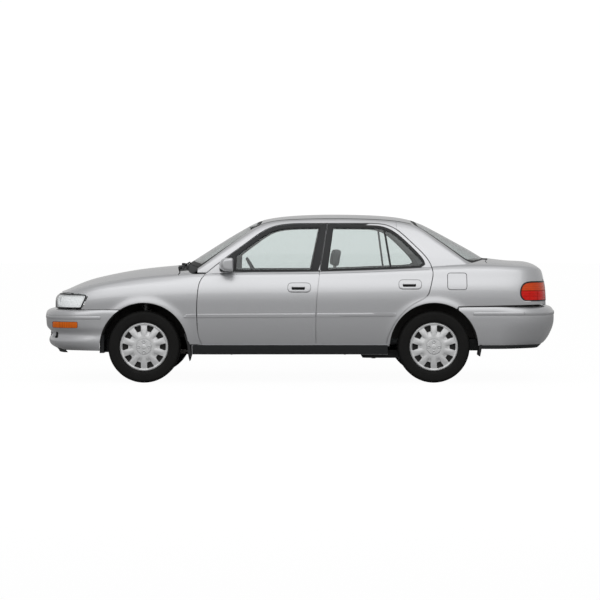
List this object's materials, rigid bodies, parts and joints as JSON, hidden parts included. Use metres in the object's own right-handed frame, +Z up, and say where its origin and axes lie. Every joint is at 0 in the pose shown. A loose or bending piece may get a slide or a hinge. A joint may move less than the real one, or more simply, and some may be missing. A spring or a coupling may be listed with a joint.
{
  "type": "four-door sedan car",
  "caption": "Silver four-door sedan with opening doors, hood, trunk lid and fuel door, steering front wheels and turning road wheels.",
  "frame": {"origin": "on the ground under the middle of the bounding box", "axes": "+X to the rear, +Y to the car's right side, +Z up"},
  "size_m": [4.65, 1.9662, 1.5011],
  "materials": {
    "body_paint": "metallic silver",
    "bumper_paint": "metallic silver over plastic",
    "black_trim": "satin black",
    "clear_lens": "clear lens",
    "red_lens": "gloss red",
    "window_glass": "lightly tinted",
    "seat_cloth": "grey cloth",
    "underside": "dull black coating",
    "cast_metal": "dull",
    "exhaust_steel": "dull",
    "tank_plastic": "dull black",
    "tyre_rubber": "matt",
    "wheel_silver": "painted silver"
  },
  "bodies": {
    "body": {"body_side_left": "body_paint", "body_side_right": "body_paint", "roof_panel": "body_paint", "front_fender_left": "body_paint", "front_fender_right": "body_paint", "rear_quarter_left": "body_paint", "rear_quarter_right": "body_paint", "front_bumper": "bumper_paint", "rear_bumper": "bumper_paint", "cowl": "black_trim", "grille": "black_trim", "dashboard": "black_trim", "headlights": "clear_lens", "tail_lights": "red_lens", "windshield": "window_glass", "rear_window": "window_glass", "front_seats": "seat_cloth", "rear_seat": "seat_cloth", "underbody": "underside", "wheel_housings": "underside", "engine_block": "cast_metal", "front_subframe": "cast_metal", "rear_axle": "cast_metal", "exhaust": "exhaust_steel", "fuel_tank": "tank_plastic"},
    "hood": {"hood": "body_paint"},
    "trunk_lid": {"trunk_lid": "body_paint"},
    "fuel_door": {"fuel_door": "body_paint"},
    "front_door_left": {"front_door_left": "body_paint", "front_glass_left": "window_glass", "mirror_left": "body_paint"},
    "rear_door_left": {"rear_door_left": "body_paint", "rear_glass_left": "window_glass"},
    "steering_knuckle_left": {"knuckle_left": "cast_metal"},
    "front_door_right": {"front_door_right": "body_paint", "front_glass_right": "window_glass", "mirror_right": "body_paint"},
    "rear_door_right": {"rear_door_right": "body_paint", "rear_glass_right": "window_glass"},
    "steering_knuckle_right": {"knuckle_right": "cast_metal"},
    "steering_wheel": {"steering_wheel": "black_trim"},
    "road_wheel_front_left": {"tyre_front_left": "tyre_rubber", "wheel_front_left": "wheel_silver"},
    "road_wheel_front_right": {"tyre_front_right": "tyre_rubber", "wheel_front_right": "wheel_silver"},
    "road_wheel_rear_left": {"tyre_rear_left": "tyre_rubber", "wheel_rear_left": "wheel_silver"},
    "road_wheel_rear_right": {"tyre_rear_right": "tyre_rubber", "wheel_rear_right": "wheel_silver"}
  },
  "joints": [
    {"name": "hood_hinge", "type": "hinge", "parent": "body", "child": "hood", "pos_m": [-1.062, 0, 1.052], "axis": [0, 1, 0], "range_deg": [0, 55]},
    {"name": "trunk_hinge", "type": "hinge", "parent": "body", "child": "trunk_lid", "pos_m": [1.648, 0, 1.112], "axis": [0, -1, 0], "range_deg": [0, 70]},
    {"name": "fuel_door_hinge", "type": "hinge", "parent": "body", "child": "fuel_door", "pos_m": [1.301, -0.866, 0.9], "axis": [0, 0, -1], "range_deg": [0, 100]},
    {"name": "front_door_left_hinge", "type": "hinge", "parent": "body", "child": "front_door_left", "pos_m": [-0.909, -0.873, 0.8], "axis": [0, 0, -1], "range_deg": [0, 68]},
    {"name": "rear_door_left_hinge", "type": "hinge", "parent": "body", "child": "rear_door_left", "pos_m": [0.142, -0.873, 0.8], "axis": [0, 0, -1], "range_deg": [0, 70]},
    {"name": "steer_left", "type": "hinge", "parent": "body", "child": "steering_knuckle_left", "pos_m": [-1.378, -0.7, 0.318], "axis": [0, 0, 1], "range_deg": [-35, 35]},
    {"name": "front_door_right_hinge", "type": "hinge", "parent": "body", "child": "front_door_right", "pos_m": [-0.909, 0.873, 0.8], "axis": [0, 0, 1], "range_deg": [0, 68]},
    {"name": "rear_door_right_hinge", "type": "hinge", "parent": "body", "child": "rear_door_right", "pos_m": [0.142, 0.873, 0.8], "axis": [0, 0, 1], "range_deg": [0, 70]},
    {"name": "steer_right", "type": "hinge", "parent": "body", "child": "steering_knuckle_right", "pos_m": [-1.378, 0.7, 0.318], "axis": [0, 0, 1], "range_deg": [-35, 35]},
    {"name": "steering_wheel_turn", "type": "hinge", "parent": "body", "child": "steering_wheel", "pos_m": [-0.39, -0.37, 0.94], "axis": [0.866, 0, 0.5], "range_deg": [-490, 490]},
    {"name": "roll_front_left", "type": "hinge", "parent": "steering_knuckle_left", "child": "road_wheel_front_left", "pos_m": [-1.378, -0.745, 0.318], "axis": [0, 1, 0], "continuous": true},
    {"name": "roll_front_right", "type": "hinge", "parent": "steering_knuckle_right", "child": "road_wheel_front_right", "pos_m": [-1.378, 0.745, 0.318], "axis": [0, 1, 0], "continuous": true},
    {"name": "roll_rear_left", "type": "hinge", "parent": "body", "child": "road_wheel_rear_left", "pos_m": [1.182, -0.745, 0.318], "axis": [0, 1, 0], "continuous": true},
    {"name": "roll_rear_right", "type": "hinge", "parent": "body", "child": "road_wheel_rear_right", "pos_m": [1.182, 0.745, 0.318], "axis": [0, 1, 0], "continuous": true}
  ],
  "couplings": [
    {"joint": "steer_right", "follows": "steer_left", "ratio": 1},
    {"joint": "steering_wheel_turn", "follows": "steer_left", "ratio": 14}
  ]
}
